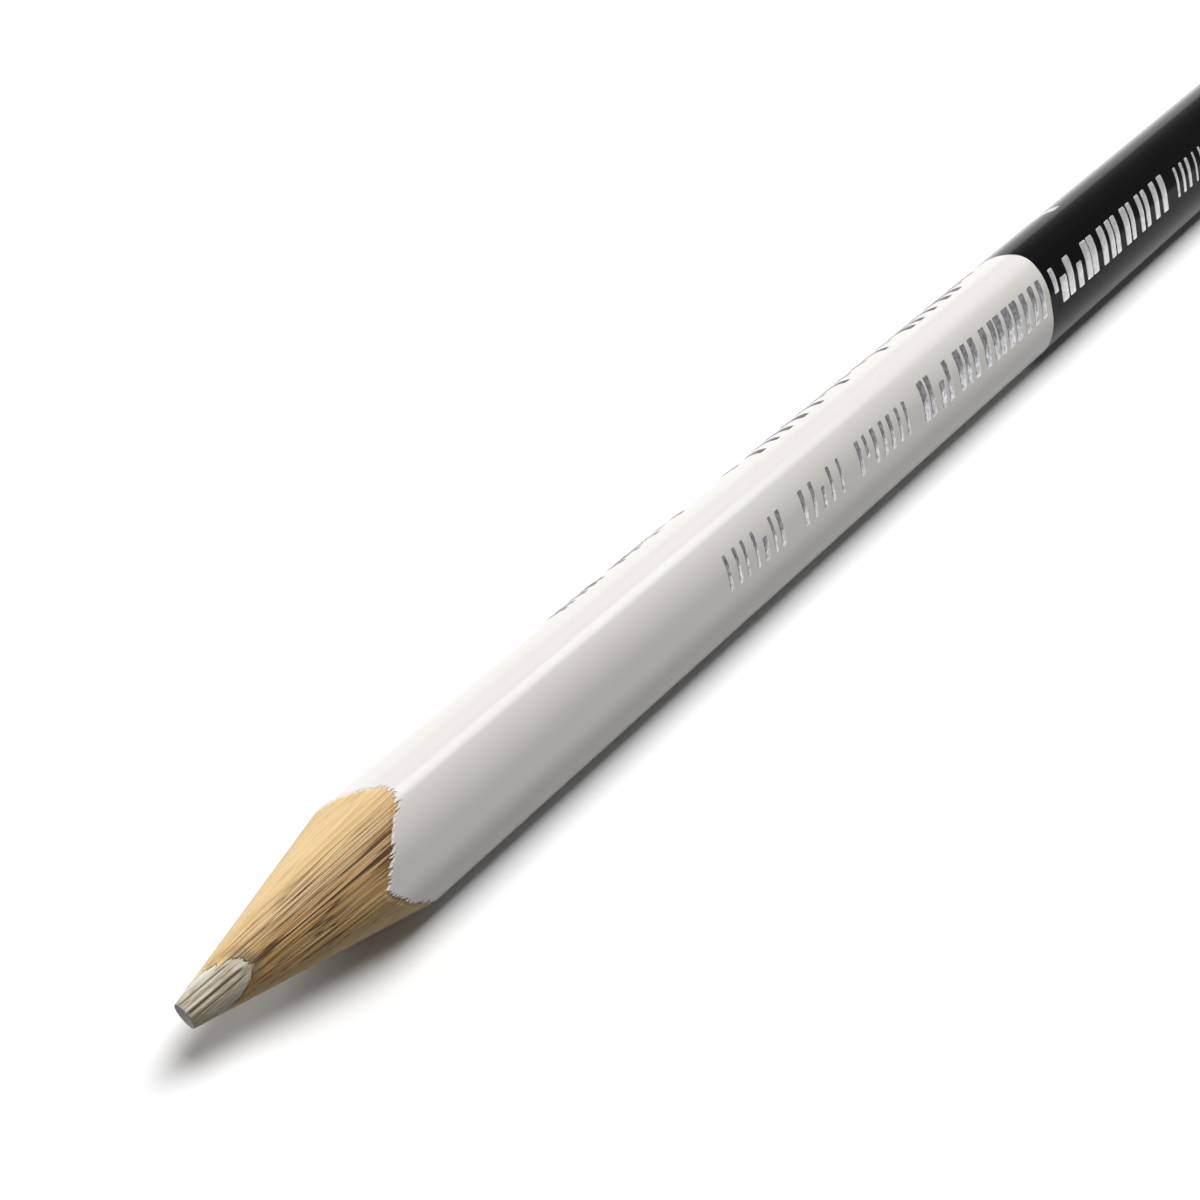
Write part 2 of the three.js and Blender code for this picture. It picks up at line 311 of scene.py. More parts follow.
def put_mesh(name, points, faces, sharp=None):
    """Makes a mesh object from points in millimetres, counted from the bar's axis, and
    four-cornered faces. Edges between two vertices with the same sharp number above 0 are sharp."""
    mesh = bpy.data.meshes.new(name)
    lifted = (points + [0, 0, FACE_DISTANCE]) * MM
    mesh.vertices.add(len(lifted))
    mesh.vertices.foreach_set("co", lifted.astype(np.float32).ravel())
    mesh.loops.add(faces.size)
    mesh.loops.foreach_set("vertex_index", faces.astype(np.int32).ravel())
    mesh.polygons.add(len(faces))
    mesh.polygons.foreach_set("loop_start", np.arange(0, faces.size, 4, dtype=np.int32))
    mesh.update(calc_edges=True)
    mesh.shade_smooth()
    if sharp is not None:
        ends = np.zeros(len(mesh.edges) * 2, np.int32)
        mesh.edges.foreach_get("vertices", ends)
        first, second = sharp[ends.reshape(-1, 2)].T
        marks = mesh.attributes.new("sharp_edge", "BOOLEAN", "EDGE")
        marks.data.foreach_set("value", (first > 0) & (first == second))
    made = bpy.data.objects.new(name, mesh)
    bpy.context.scene.collection.objects.link(made)
    return made


def solid_between(name, section, left, right, ring):
    """Closed solid over a grid of section points: the grid at the left X, the same grid at
    the right X, and a wall along the grid's border. A ring's columns close on themselves."""
    rows, columns = section.shape[:2]
    points = np.concatenate([
        np.concatenate([x[..., None], section], axis=-1).reshape(-1, 3) for x in (left, right)])
    ids = np.arange(rows * columns).reshape(rows, columns)
    grid = np.concatenate([ids, ids[:, :1]], axis=1) if ring else ids
    cells = np.stack([grid[:-1, :-1], grid[:-1, 1:], grid[1:, 1:], grid[1:, :-1]], axis=-1).reshape(-1, 4)
    borders = [grid[0], grid[-1, ::-1]]
    if not ring:
        borders += [grid[:, -1], grid[::-1, 0]]
    walls = [np.stack([b[1:], b[:-1], b[:-1] + ids.size, b[1:] + ids.size], axis=-1) for b in borders]
    faces = np.concatenate([cells, cells[:, ::-1] + ids.size, *walls])

    flat_y, flat_z = section[..., 0], section[..., 1]
    turn = (np.diff(flat_y, axis=0)[:, :-1] * np.diff(flat_z, axis=1)[:-1]
            - np.diff(flat_z, axis=0)[:, :-1] * np.diff(flat_y, axis=1)[:-1]).sum()
    if turn > 0:
        faces = faces[:, ::-1]
    sharp = np.zeros(2 * ids.size, int)
    for border in borders:
        sharp[border], sharp[border + ids.size] = 1, 2
    return put_mesh(name, points, faces, sharp)


def linear(hex_colour):
    """An sRGB hex colour as the linear RGBA that a shader socket takes."""
    parts = [int(hex_colour[i:i + 2], 16) / 255 for i in (1, 3, 5)]
    return (*(c / 12.92 if c <= 0.04045 else ((c + 0.055) / 1.055)**2.4 for c in parts), 1)


def add_node(tree, kind, inputs=(), **settings):
    """Adds a node with its settings, and sets or links its inputs by name or number."""
    made = tree.nodes.new(kind)
    for name, value in settings.items():
        setattr(made, name, value)
    for key, value in dict(inputs).items():
        if isinstance(value, bpy.types.NodeSocket):
            tree.links.new(value, made.inputs[key])
        else:
            made.inputs[key].default_value = value
    return made


def new_material(name):
    """An empty node material and its tree, for the section that calls it to fill."""
    material = bpy.data.materials.new(name)
    material.use_nodes = True
    material.node_tree.nodes.clear()
    return material, material.node_tree


# Numbers of a colour mix's sockets, which share their names
MIX_A, MIX_B, MIX_RESULT = 6, 7, 2


def store(made, name, values):
    """Keeps one number, or one triple, for each vertex of a piece, for its material to read."""
    triple = values.ndim > 1 and values.shape[-1] == 3
    layer = made.data.attributes.new(name, "FLOAT_VECTOR" if triple else "FLOAT", "POINT")
    layer.data.foreach_set("vector" if triple else "value", values.ravel().astype(np.float32))


def basswood():
    """Basswood cut by a sharpener: pale tan, with brown streaks of fibre, dark vessel lines
    where a noise passes its middle value, painted shade in the hollows and cracks, and one broad
    band of painted shade down the front of the cone. Streaks and lines are fainter where the
    blade has torn less. Pigment is rubbed into the wood beside the core, with painted shade there
    too where wood meets core, and wiped white over it at the white tip. The grain is stored in
    millimetres. Real fibres are 0.02 to 0.03 mm wide, too fine to show, so they are drawn
    0.085 mm apart, and the vessels 0.16 mm apart."""
    material, tree = new_material("basswood_cut_by_sharpener")
    grain = add_node(tree, "ShaderNodeAttribute", attribute_name="grain")
    fibre = add_node(tree, "ShaderNodeTexNoise", {
        "Vector": grain.outputs["Vector"], "Scale": 1 / 0.085, "Detail": 3, "Roughness": 0.6})
    layer = add_node(tree, "ShaderNodeTexNoise", {
        "Vector": grain.outputs["Vector"], "Scale": 1 / 0.8, "Detail": 2})
    vessel = add_node(tree, "ShaderNodeTexNoise", {
        "Vector": grain.outputs["Vector"], "Scale": 1 / 0.16, "Detail": 1, "Roughness": 0.4})
    centred = add_node(tree, "ShaderNodeMath", {0: vessel.outputs[0], 1: 0.5}, operation="SUBTRACT")
    off_line = add_node(tree, "ShaderNodeMath", {0: centred.outputs[0]}, operation="ABSOLUTE")
    place = add_node(tree, "ShaderNodeTexCoord")
    pores = add_node(tree, "ShaderNodeTexNoise", {
        "Vector": place.outputs["Object"], "Scale": 1 / (0.09 * MM), "Detail": 1})
    groove, stain_and_shade, painted_shade_band, torn, chalk = (
        add_node(tree, "ShaderNodeAttribute", attribute_name=name).outputs["Fac"]
        for name in ("groove", "stain_and_shade", "painted_shade_band", "torn", "chalk"))

    tone = add_node(tree, "ShaderNodeMix", {
        0: layer.outputs[0], MIX_A: linear("#f2dcb6"), MIX_B: linear("#dcb778")}, data_type="RGBA")
    # Painted shade: a broad darker band down the front of the cone
    band_shaded = add_node(tree, "ShaderNodeMix", {
        0: painted_shade_band, MIX_A: tone.outputs[MIX_RESULT], MIX_B: linear("#8a6a3a")}, data_type="RGBA")
    streak = add_node(tree, "ShaderNodeMapRange", {
        "Value": fibre.outputs[0], "From Min": 0.44, "From Max": 0.58, "To Max": 0.75})
    streaked = add_node(tree, "ShaderNodeMix", {
        0: streak.outputs[0], MIX_A: band_shaded.outputs[MIX_RESULT], MIX_B: linear("#b98c4e")},
        data_type="RGBA")
    line = add_node(tree, "ShaderNodeMapRange", {
        "Value": off_line.outputs[0], "From Max": 0.055, "To Min": 1, "To Max": 0})
    lined = add_node(tree, "ShaderNodeMix", {
        0: line.outputs[0], MIX_A: streaked.outputs[MIX_RESULT], MIX_B: linear("#452b0f")},
        data_type="RGBA")
    colour = add_node(tree, "ShaderNodeMix", {
        0: torn, MIX_A: band_shaded.outputs[MIX_RESULT], MIX_B: lined.outputs[MIX_RESULT]}, data_type="RGBA")
    # Painted shade in the hollows and cracks, then pigment with painted shade beside the core, then white
    # pigment wiped over the white tip
    for share, over in ((groove, "#573b1f"), (stain_and_shade, "#4f4a38"), (chalk, "#f2ece0")):
        colour = add_node(tree, "ShaderNodeMix", {
            0: share, MIX_A: colour.outputs[MIX_RESULT], MIX_B: linear(over)}, data_type="RGBA")
    rough = add_node(tree, "ShaderNodeBump", {
        "Height": fibre.outputs[0], "Strength": 0.8, "Distance": 0.05 * MM})
    pored = add_node(tree, "ShaderNodeBump", {
        "Height": pores.outputs[0], "Strength": 0.4, "Distance": 0.02 * MM, "Normal": rough.outputs[0]})
    cut_wood = add_node(tree, "ShaderNodeBsdfPrincipled", {
        "Base Color": colour.outputs[MIX_RESULT], "Roughness": 0.78, "IOR": 1.45,
        "Normal": pored.outputs[0]})
    add_node(tree, "ShaderNodeOutputMaterial", {"Surface": cut_wood.outputs[0]})
    return material


OUTLINE_STEPS = 6000
SLAT_ROWS = 73
SLAT_COLUMNS = 581
GRAIN_STRETCH = 0.02
# Share of painted shade that a hollow's depth gives
HOLLOW_SHADE_SHARE = 0.5
# Pigment rubbed into the wood beside the core, with painted shade where wood meets core: how far out it
# reaches, the depth behind the apex where it begins, and its strength
STAIN_AND_SHADE_REACH = 0.2
STAIN_AND_SHADE_DEPTH = 6.4
STAIN_AND_SHADE_SHARE = 0.85
CHALK_REACH = 0.5
CHALK_DEPTH = 5.9
CHALK_STRENGTH = 1.2
# Band of painted shade down the front of the cone: its place across the layers, width and strength
SHADE_BAND_PLACE = -0.8
SHADE_BAND_WIDTH = 1.4
SHADE_BAND_SHARE = 0.6
outline, outline_normals = bar_outline(OUTLINE_STEPS)
wood_curve = outline - outline_normals * (LACQUER_THICKNESS + PRIMER_THICKNESS)
groove_curve = core_edge(all_round, BOND_THICKNESS)
wood = basswood()


def chalk_left(end, y, z):
    """Share of white pigment that the sharpener has wiped over the wood beside the white
    core's tip: full at the tip, gone by CHALK_DEPTH behind the apex and CHALK_REACH out."""
    gap = np.hypot(y - CORE_Y, z - CORE_Z) - CORE_RADIUS
    near = np.clip(CHALK_STRENGTH * (1 - gap / CHALK_REACH), 0, 1)
    return np.clip(CHALK_DEPTH - cone_depth(end, y, z), 0, 1) * near * (end["side"] < 0)


def dress_wood(made, section):
    """Stores what the wood's material reads, for both ends: each vertex's place in the grain,
    how deep it lies in a hollow or crack, for the painted shade there, the pigment rubbed into it
    beside the core together with painted shade where wood meets core, the pigment wiped over it
    at the white tip, how near it is to the band of painted shade, by a bell curve, and how torn
    it is. The place down the bar is shrunk, to draw the streaks out lengthwise."""
    y, z = section[..., 0], section[..., 1]
    gap = np.hypot(y - CORE_Y, z - CORE_Z) - CORE_RADIUS - BOND_THICKNESS
    near = STAIN_AND_SHADE_SHARE * np.clip(1 - gap / STAIN_AND_SHADE_REACH, 0, 1)
    read = {"grain": [], "groove": [], "stain_and_shade": [], "chalk": [], "painted_shade_band": [], "torn": []}
    for end in (WHITE_END, BLACK_END):
        across, along, depth = grain_place(end, y, z)
        height, crack = wood_surface(end, y, z)
        place = np.stack([across, along / FIBRE_WIDTH_RATIO, depth * GRAIN_STRETCH], axis=-1)
        hollow = np.clip(-height / RIDGE_HEIGHT, 0, 1)
        # A bell curve across the layers places the band of painted shade
        bell = np.exp(-((across - SHADE_BAND_PLACE) / SHADE_BAND_WIDTH)**2)
        read["grain"].append(place)
        # The hollows and cracks take painted shade
        read["groove"].append(np.clip(HOLLOW_SHADE_SHARE * hollow + crack, 0, 1))
        # Pigment and painted shade beside the core, further back than the tip
        read["stain_and_shade"].append(near * np.clip(depth - STAIN_AND_SHADE_DEPTH, 0, 1))
        read["chalk"].append(chalk_left(end, y, z))
        read["painted_shade_band"].append(SHADE_BAND_SHARE * bell)
        read["torn"].append(torn_share(end, y, z))
    for name, values in read.items():
        store(made, name, np.stack(values))


def wood_piece(name, node, section, finish):
    """A solid of wood or of seam glue over a section grid, sharpened at both ends."""
    y, z = section[..., 0], section[..., 1]
    cuts = [cut_x(end, y, z, wood_surface(end, y, z)[0]) for end in (WHITE_END, BLACK_END)]
    made = solid_between(name, section, *cuts, ring=False)
    dress_wood(made, section)
    made.data.materials.append(finish)
    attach(made, "root")
    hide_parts(node)


def slat(name, node, above):
    """One slat: directions over half a turn, from the groove out to the wood's outline."""
    level = CORE_Z + above * SEAM_THICKNESS / 2
    turns = np.linspace(0, above * math.pi, SLAT_COLUMNS)
    inner = distance_to(groove_curve, turns, CORE_Y, level)
    outer = distance_to(wood_curve, turns, CORE_Y, level)
    reach = inner + (outer - inner) * np.linspace(0, 1, SLAT_ROWS)[:, None]
    section = np.stack([CORE_Y + reach * np.cos(turns), level + reach * np.sin(turns)], axis=-1)
    wood_piece(name, node, section, wood)


slat("upper_slat_cut", "upper_slat", 1)
slat("lower_slat_cut", "lower_slat", -1)


# Seam glue: a film of wood glue between the two slats, on each side of the core. Only its
# cut edge shows, as a fine line down the cone.
SEAM_ROWS = 4


def wood_glue():
    """Dried wood glue: yellowish, a little smoother than the wood, mottled where it soaked in."""
    material, tree = new_material("dried_wood_glue")
    place = add_node(tree, "ShaderNodeTexCoord")
    mottle = add_node(tree, "ShaderNodeTexNoise", {
        "Vector": place.outputs["Object"], "Scale": 1 / (0.5 * MM), "Detail": 2})
    tone = add_node(tree, "ShaderNodeMix", {
        0: mottle.outputs[0], MIX_A: linear("#c49a61"), MIX_B: linear("#936c3d")}, data_type="RGBA")
    dried = add_node(tree, "ShaderNodeBsdfPrincipled", {
        "Base Color": tone.outputs[MIX_RESULT], "Roughness": 0.55, "IOR": 1.48})
    add_node(tree, "ShaderNodeOutputMaterial", {"Surface": dried.outputs[0]})
    return material


glue = wood_glue()


def seam_glue(name, node, side):
    """One strip of the seam: levels through its thickness, from the groove out to the outline."""
    levels = CORE_Z + SEAM_THICKNESS * np.linspace(-0.5, 0.5, SEAM_ROWS)
    turn = 0 if side > 0 else math.pi
    inner = np.array([distance_to(groove_curve, turn, CORE_Y, level) for level in levels])[:, None]
    outer = np.array([distance_to(wood_curve, turn, CORE_Y, level) for level in levels])[:, None]
    reach = inner + (outer - inner) * np.linspace(0, 1, SLAT_ROWS)
    section = np.stack([CORE_Y + side * reach, np.broadcast_to(levels[:, None], reach.shape)], axis=-1)
    wood_piece(name, node, section, glue)


seam_glue("seam_glue_back_film", "seam_glue_back", 1)
seam_glue("seam_glue_front_film", "seam_glue_front", -1)


# Cores: rods of pigment, chalk and wax, pressed and laid end to end in the groove, white in
# one half and black in the other. The sharpener scores them lengthwise and writing wears
# the end flat.
CORE_GRID = 161
SCORE_TURN = math.radians(25)
SCORE_HEIGHT = 0.02
SCORE_SPACINGS = ((0.17, 0.9), (0.06, 0.4))
GRIME_STRENGTH = 1.2
# Painted light on a core's upper side: where it begins across the scoring direction, and over what width
# it comes in
LIT_TOP_FROM = 0.5
LIT_TOP_WIDTH = 0.4
LEAST_WORN = 0.35

# Place across the scoring direction, width and height of each deeper scratch or ridge
SCRATCHES = ((-0.05, 0.035, 0.03), (-0.17, 0.05, -0.03), (0.4, 0.03, -0.018), (0.12, 0.03, -0.008),
             (-0.35, 0.05, 0.012), (-0.5, 0.04, -0.016))


def core_section(end):
    """A round grid of section points: square rings, each bent to a circle, of which the
    inner half fills the worn flat and the outer half runs from its rim to the core's edge."""
    span = np.linspace(-1, 1, CORE_GRID)
    a, b = np.meshgrid(span, span)
    wide = np.abs(a) >= np.abs(b)
    radius = np.where(wide, a, b)
    ratio = np.divide(np.where(wide, b, a), radius, out=np.zeros_like(a), where=radius != 0)
    turns = np.where(wide, ratio, 2 - ratio) * math.pi / 4 + np.where(radius < 0, math.pi, 0)
    ring = np.abs(radius)[..., None]
    edge = core_edge(turns, 0)
    rim = worn_rim(end, edge)[..., 1:] - [0, end["drop"]]
    middle = rim.reshape(-1, 2).mean(axis=0)
    section = np.where(ring < 0.5, middle + (rim - middle) * ring * 2, rim + (edge - rim) * (ring * 2 - 1))
    return section, (ring[..., 0] <= 0.5).astype(float)


def core_scores(y, z):
    """Height of the lengthwise scores on a core: fine noise at two spacings across the
    scoring direction and along it, and a few deeper scratches and ridges with bell-shaped
    sides. They die out at the core's edge."""
    across = y * math.cos(SCORE_TURN) + z * math.sin(SCORE_TURN)
    along = z * math.cos(SCORE_TURN) - y * math.sin(SCORE_TURN)
    noise = 0
    for octave, (narrow, long) in enumerate(SCORE_SPACINGS):
        noise = noise + 0.5 * value_noise(across / narrow, along / long, 0.5, 41 + octave)
    height = SCORE_HEIGHT * (noise - 0.5)
    for place, width, step in SCRATCHES:
        height = height + step * np.exp(-((across - place) / width)**2)
    return height * np.clip((CORE_RADIUS - np.hypot(y - CORE_Y, z - CORE_Z)) / EDGE_FADE, 0, 1)


def pigment_core(name, painted_lit_top, pale, dark, grime, worn, roughness):
    """Pressed pigment and wax: matt and a little chalky, streaked lengthwise by the cutter,
    with grime in the scores, painted light along its upper side, and burnished on the worn
    flat. The pigment's grains are drawn 0.06 mm apart, many times their size, so that they show."""
    material, tree = new_material(name)
    place = add_node(tree, "ShaderNodeTexCoord")
    scored = add_node(tree, "ShaderNodeMapping", {
        "Vector": place.outputs["Object"], "Rotation": (SCORE_TURN, 0, 0), "Scale": (16, 1, 3)},
        vector_type="TEXTURE")
    streak = add_node(tree, "ShaderNodeTexNoise", {
        "Vector": scored.outputs[0], "Scale": 1 / (0.13 * MM), "Detail": 4, "Roughness": 0.65})
    grain = add_node(tree, "ShaderNodeTexNoise", {
        "Vector": place.outputs["Object"], "Scale": 1 / (0.06 * MM), "Detail": 2})
    score, flat, chalk = (
        add_node(tree, "ShaderNodeAttribute", attribute_name=name).outputs["Fac"]
        for name in ("score", "worn", "chalk"))
    share = add_node(tree, "ShaderNodeMapRange", {
        "Value": streak.outputs[0], "From Min": 0.38, "From Max": 0.64})
    colour = add_node(tree, "ShaderNodeMix", {
        0: share.outputs[0], MIX_A: linear(pale), MIX_B: linear(dark)}, data_type="RGBA")
    # Grime in the scores, painted light along the upper side, and the worn flat's colour
    for share, over in ((score, grime), (chalk, painted_lit_top), (flat, worn)):
        colour = add_node(tree, "ShaderNodeMix", {
            0: share, MIX_A: colour.outputs[MIX_RESULT], MIX_B: linear(over)}, data_type="RGBA")
    bump = add_node(tree, "ShaderNodeBump", {
        "Height": grain.outputs[0], "Strength": 0.4, "Distance": 0.02 * MM})
    pigment = add_node(tree, "ShaderNodeBsdfPrincipled", {
        "Base Color": colour.outputs[MIX_RESULT], "Roughness": roughness, "IOR": 1.5,
        "Normal": bump.outputs[0]})
    add_node(tree, "ShaderNodeOutputMaterial", {"Surface": pigment.outputs[0]})
    return material


def half_solid(name, section, end, cut, ring):
    """Closed solid over a section grid, from its cut end to the plane where the halves meet."""
    joint = np.full(cut.shape, JOINT_X)
    left, right = (cut, joint) if end["side"] < 0 else (joint, cut)
    return solid_between(name, section, left, right, ring)


def core(name, node, end, material):
    """One core, from its worn tip to the plane where the halves meet."""
    section, worn = core_section(end)
    y, z = section[..., 0], section[..., 1]
    scores = core_scores(y, z) * (1 - worn)
    across = y * math.cos(SCORE_TURN) + z * math.sin(SCORE_TURN)
    # Painted light: the upper side of the core is made paler
    painted_lit_top = np.clip((across - LIT_TOP_FROM) / LIT_TOP_WIDTH, 0, 1)
    worn = worn * np.clip(1 + across, LEAST_WORN, 1)
    deep = np.clip(-GRIME_STRENGTH * scores / SCORE_HEIGHT, 0, 1)
    made = half_solid(name, section, end, cut_x(end, y, z, scores), ring=False)
    for layer, values in (("score", deep), ("worn", worn), ("chalk", painted_lit_top)):
        store(made, layer, np.stack([values, values]))
    made.data.materials.append(material)
    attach(made, "root")
    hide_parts(node)


core("white_core_worn", "white_core", WHITE_END,
     pigment_core("pressed_white_pigment", "#f2ece0", "#cdc5b3", "#958a70", "#54492f", "#747078", 0.75))
core("black_core_worn", "black_core", BLACK_END,
     pigment_core("pressed_black_pigment", "#393838", "#323131", "#1f1e1e", "#121212", "#2a292a", 0.6))


# Core glue: the film that beds each core in the groove. Pigment rubbed off by the
# sharpener has turned its cut edge into a dark line.
GLUE_SUNK = 0.02
BOND_ROWS = 5


def stained_glue():
    """Dried glue full of rubbed-off pigment: dull, from dark grey-brown to the wood's tan,
    and wiped over with white beside the white core's tip."""
    material, tree = new_material("pigment_stained_glue")
    place = add_node(tree, "ShaderNodeTexCoord")
    mottle = add_node(tree, "ShaderNodeTexNoise", {
        "Vector": place.outputs["Object"], "Scale": 1 / (0.3 * MM), "Detail": 3})
    share = add_node(tree, "ShaderNodeMapRange", {
        "Value": mottle.outputs[0], "From Min": 0.42, "From Max": 0.62})
    tone = add_node(tree, "ShaderNodeMix", {
        0: share.outputs[0], MIX_A: linear("#5d543f"), MIX_B: linear("#a99469")}, data_type="RGBA")
    chalk = add_node(tree, "ShaderNodeAttribute", attribute_name="chalk")
    chalked = add_node(tree, "ShaderNodeMix", {
        0: chalk.outputs["Fac"], MIX_A: tone.outputs[MIX_RESULT], MIX_B: linear("#f2ece0")},
        data_type="RGBA")
    stained = add_node(tree, "ShaderNodeBsdfPrincipled", {
        "Base Color": chalked.outputs[MIX_RESULT], "Roughness": 0.7, "IOR": 1.48})
    add_node(tree, "ShaderNodeOutputMaterial", {"Surface": stained.outputs[0]})
    return material


core_glue_finish = stained_glue()


def core_glue(name, node, end):
    """The glue tube round one core, its cut edge a little below the wood's."""
    walls = np.linspace(0, BOND_THICKNESS, BOND_ROWS)
    section = np.stack([core_edge(all_round, wall) for wall in walls])
    y, z = section[..., 0], section[..., 1]
    made = half_solid(name, section, end, cut_x(end, y, z, -GLUE_SUNK), ring=True)
    chalk = chalk_left(end, y, z)
    store(made, "chalk", np.stack([chalk, chalk]))
    made.data.materials.append(core_glue_finish)
    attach(made, "root")
    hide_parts(node)


core_glue("white_core_bedding", "white_core_bond", WHITE_END)
core_glue("black_core_bedding", "black_core_bond", BLACK_END)


# Primer: a chalky filler coat that closes the wood's pores under both lacquers. It shows
# as a thin line where the sharpener has torn the lacquer back from the cone.
COAT_COLUMNS = 1800
PRIMER_ROWS = 4
PRIMER_TEAR = 0.8
TEAR_DEPTH = 0.65
TEAR_LEAST = 0.25
TEAR_SPACING = 0.13
TEAR_NOISE_START = 40
TEAR_PEAK_POWER = 1.5
BROAD_RATIO = 5
TEAR_SLOPE = 0.3


def chalk_primer():
    """Filler coat of chalk and binder: off-white and matt, with pinholes."""
    material, tree = new_material("chalk_filled_primer")
    place = add_node(tree, "ShaderNodeTexCoord")
    chalk = add_node(tree, "ShaderNodeTexNoise", {
        "Vector": place.outputs["Object"], "Scale": 1 / (0.12 * MM), "Detail": 3})
    tone = add_node(tree, "ShaderNodeMix", {
        0: chalk.outputs[0], MIX_A: linear("#ece7dc"), MIX_B: linear("#cfc6b4")}, data_type="RGBA")
    bump = add_node(tree, "ShaderNodeBump", {
        "Height": chalk.outputs[0], "Strength": 0.3, "Distance": 0.01 * MM})
    filler = add_node(tree, "ShaderNodeBsdfPrincipled", {
        "Base Color": tone.outputs[MIX_RESULT], "Roughness": 0.7, "IOR": 1.5, "Normal": bump.outputs[0]})
    add_node(tree, "ShaderNodeOutputMaterial", {"Surface": filler.outputs[0]})
    return material


coat_points, coat_normals = bar_outline(COAT_COLUMNS)


def coat_section(outside, inside, rows):
    """Rings of section points through a coat, from its outer skin in to its inner one."""
    return np.stack([coat_points - coat_normals * inset for inset in np.linspace(outside, inside, rows)])


def torn_cut(end, section, share):
    """X of a coat's torn edge. It lies behind the cone by a share of the tear depth that
    varies slowly round the bar, less where one of the sharp peaks of a ridged noise leaves a
    sliver standing. Through its thickness the coat breaks off steeper than the cone is cut."""
    y, z = coat_points.T / TEAR_SPACING + TEAR_NOISE_START
    fine = value_noise(y, z, 0.5, 60 + end["side"])
    peak = (1 - np.abs(2 * fine - 1))**TEAR_PEAK_POWER
    broad = value_noise(y / BROAD_RATIO, z / BROAD_RATIO, 0.5, 65 + end["side"])
    tear = TEAR_DEPTH * share * (TEAR_LEAST + broad) * (1 - peak)
    rows_y, rows_z = section[..., 0], section[..., 1]
    cut = cut_x(end, rows_y, rows_z, wood_surface(end, rows_y, rows_z)[0])
    at_skin = cut_x(end, *coat_points.T, wood_surface(end, *coat_points.T)[0])
    return at_skin + TEAR_SLOPE * (cut - at_skin) - end["side"] * tear


primer_section = coat_section(LACQUER_THICKNESS, LACQUER_THICKNESS + PRIMER_THICKNESS, PRIMER_ROWS)
primer_cuts = [torn_cut(end, primer_section, PRIMER_TEAR) for end in (WHITE_END, BLACK_END)]
primer = solid_between("primer_coat_skin", primer_section, *primer_cuts, ring=True)
primer.data.materials.append(chalk_primer())
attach(primer, "root")
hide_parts("primer_coat")


# Lacquer: gloss paint dipped on in several coats, white over the half with the white core
# and black over the other, parted by a clean line round the middle.
LACQUER_ROWS = 5


def gloss_lacquer(name, colour, shade, roughness, gloss):
    """Gloss lacquer dipped on: even colour, a faint long ripple left by the fibres below, a
    finer one of its own, and a few specks of dust that dried in."""
    material, tree = new_material(name)
    place = add_node(tree, "ShaderNodeTexCoord")
    drawn = add_node(tree, "ShaderNodeMapping", {
        "Vector": place.outputs["Object"], "Scale": (0.12, 1, 1)})
    ripple = add_node(tree, "ShaderNodeTexNoise", {
        "Vector": drawn.outputs[0], "Scale": 1 / (1.3 * MM), "Detail": 2})
    peel = add_node(tree, "ShaderNodeTexNoise", {
        "Vector": place.outputs["Object"], "Scale": 1 / (0.35 * MM), "Detail": 1})
    tone = add_node(tree, "ShaderNodeMix", {
        0: ripple.outputs[0], MIX_A: linear(colour), MIX_B: linear(shade)}, data_type="RGBA")
    dust = add_node(tree, "ShaderNodeTexVoronoi", {
        "Vector": place.outputs["Object"], "Scale": 1 / (2.6 * MM)})
    chosen = add_node(tree, "ShaderNodeSeparateColor", {"Color": dust.outputs["Color"]})
    size = add_node(tree, "ShaderNodeMapRange", {
        "Value": chosen.outputs[0], "From Min": 0.8, "From Max": 1, "To Max": 0.04})
    speck = add_node(tree, "ShaderNodeMath", {
        0: dust.outputs["Distance"], 1: size.outputs[0]}, operation="LESS_THAN")
    dusted = add_node(tree, "ShaderNodeMix", {
        0: speck.outputs[0], MIX_A: tone.outputs[MIX_RESULT], MIX_B: linear("#77716c")},
        data_type="RGBA")
    low = add_node(tree, "ShaderNodeBump", {
        "Height": ripple.outputs[0], "Strength": 0.25, "Distance": 0.015 * MM})
    fine = add_node(tree, "ShaderNodeBump", {
        "Height": peel.outputs[0], "Strength": 0.3, "Distance": 0.004 * MM, "Normal": low.outputs[0]})
    paint = add_node(tree, "ShaderNodeBsdfPrincipled", {
        "Base Color": dusted.outputs[MIX_RESULT], "Roughness": roughness, "IOR": 1.5,
        "Specular IOR Level": gloss, "Normal": fine.outputs[0]})
    add_node(tree, "ShaderNodeOutputMaterial", {"Surface": paint.outputs[0]})
    return material


def lacquer(name, node, end, material):
    """One half's lacquer, from its torn edge on the cone to the line in the middle."""
    section = coat_section(0, LACQUER_THICKNESS, LACQUER_ROWS)
    made = half_solid(name, section, end, torn_cut(end, section, 1), ring=True)
    made.data.materials.append(material)
    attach(made, "root")
    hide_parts(node)


lacquer("white_lacquer_coat", "white_lacquer", WHITE_END,
        gloss_lacquer("white_gloss_lacquer", "#e2dfdb", "#ddd9d4", 0.2, 0.3))
lacquer("black_lacquer_coat", "black_lacquer", BLACK_END,
        gloss_lacquer("black_gloss_lacquer", "#0c0c0e", "#0a0a0b", 0.16, 0.04))


# Foil decoration: plain slanted bars of silver foil, pressed on hot through a heated die, in
# a bold row and a fine row on two faces. The foil bulges a little and its edge bites into
# the lacquer.
FOIL_PROUD = 0.02
FOIL_SUNK = 0.012
FOIL_BACKING = 0.01
FOIL_GRID = (25, 13)
FOIL_SHIFT = 0.3
FOIL_WIDTHS = (0.75, 1.3)
FOIL_CROPS = (0, 0, 0, 0.35)
FOIL_FLATNESS = (10, 6)

# Faces are numbered round the bar from the one that it lies on. A slant is X per millimetre
# across the face
FRONT_FACE, BACK_FACE = 2, 1
FRONT_SLANT, BACK_SLANT = 0.04, 0.15


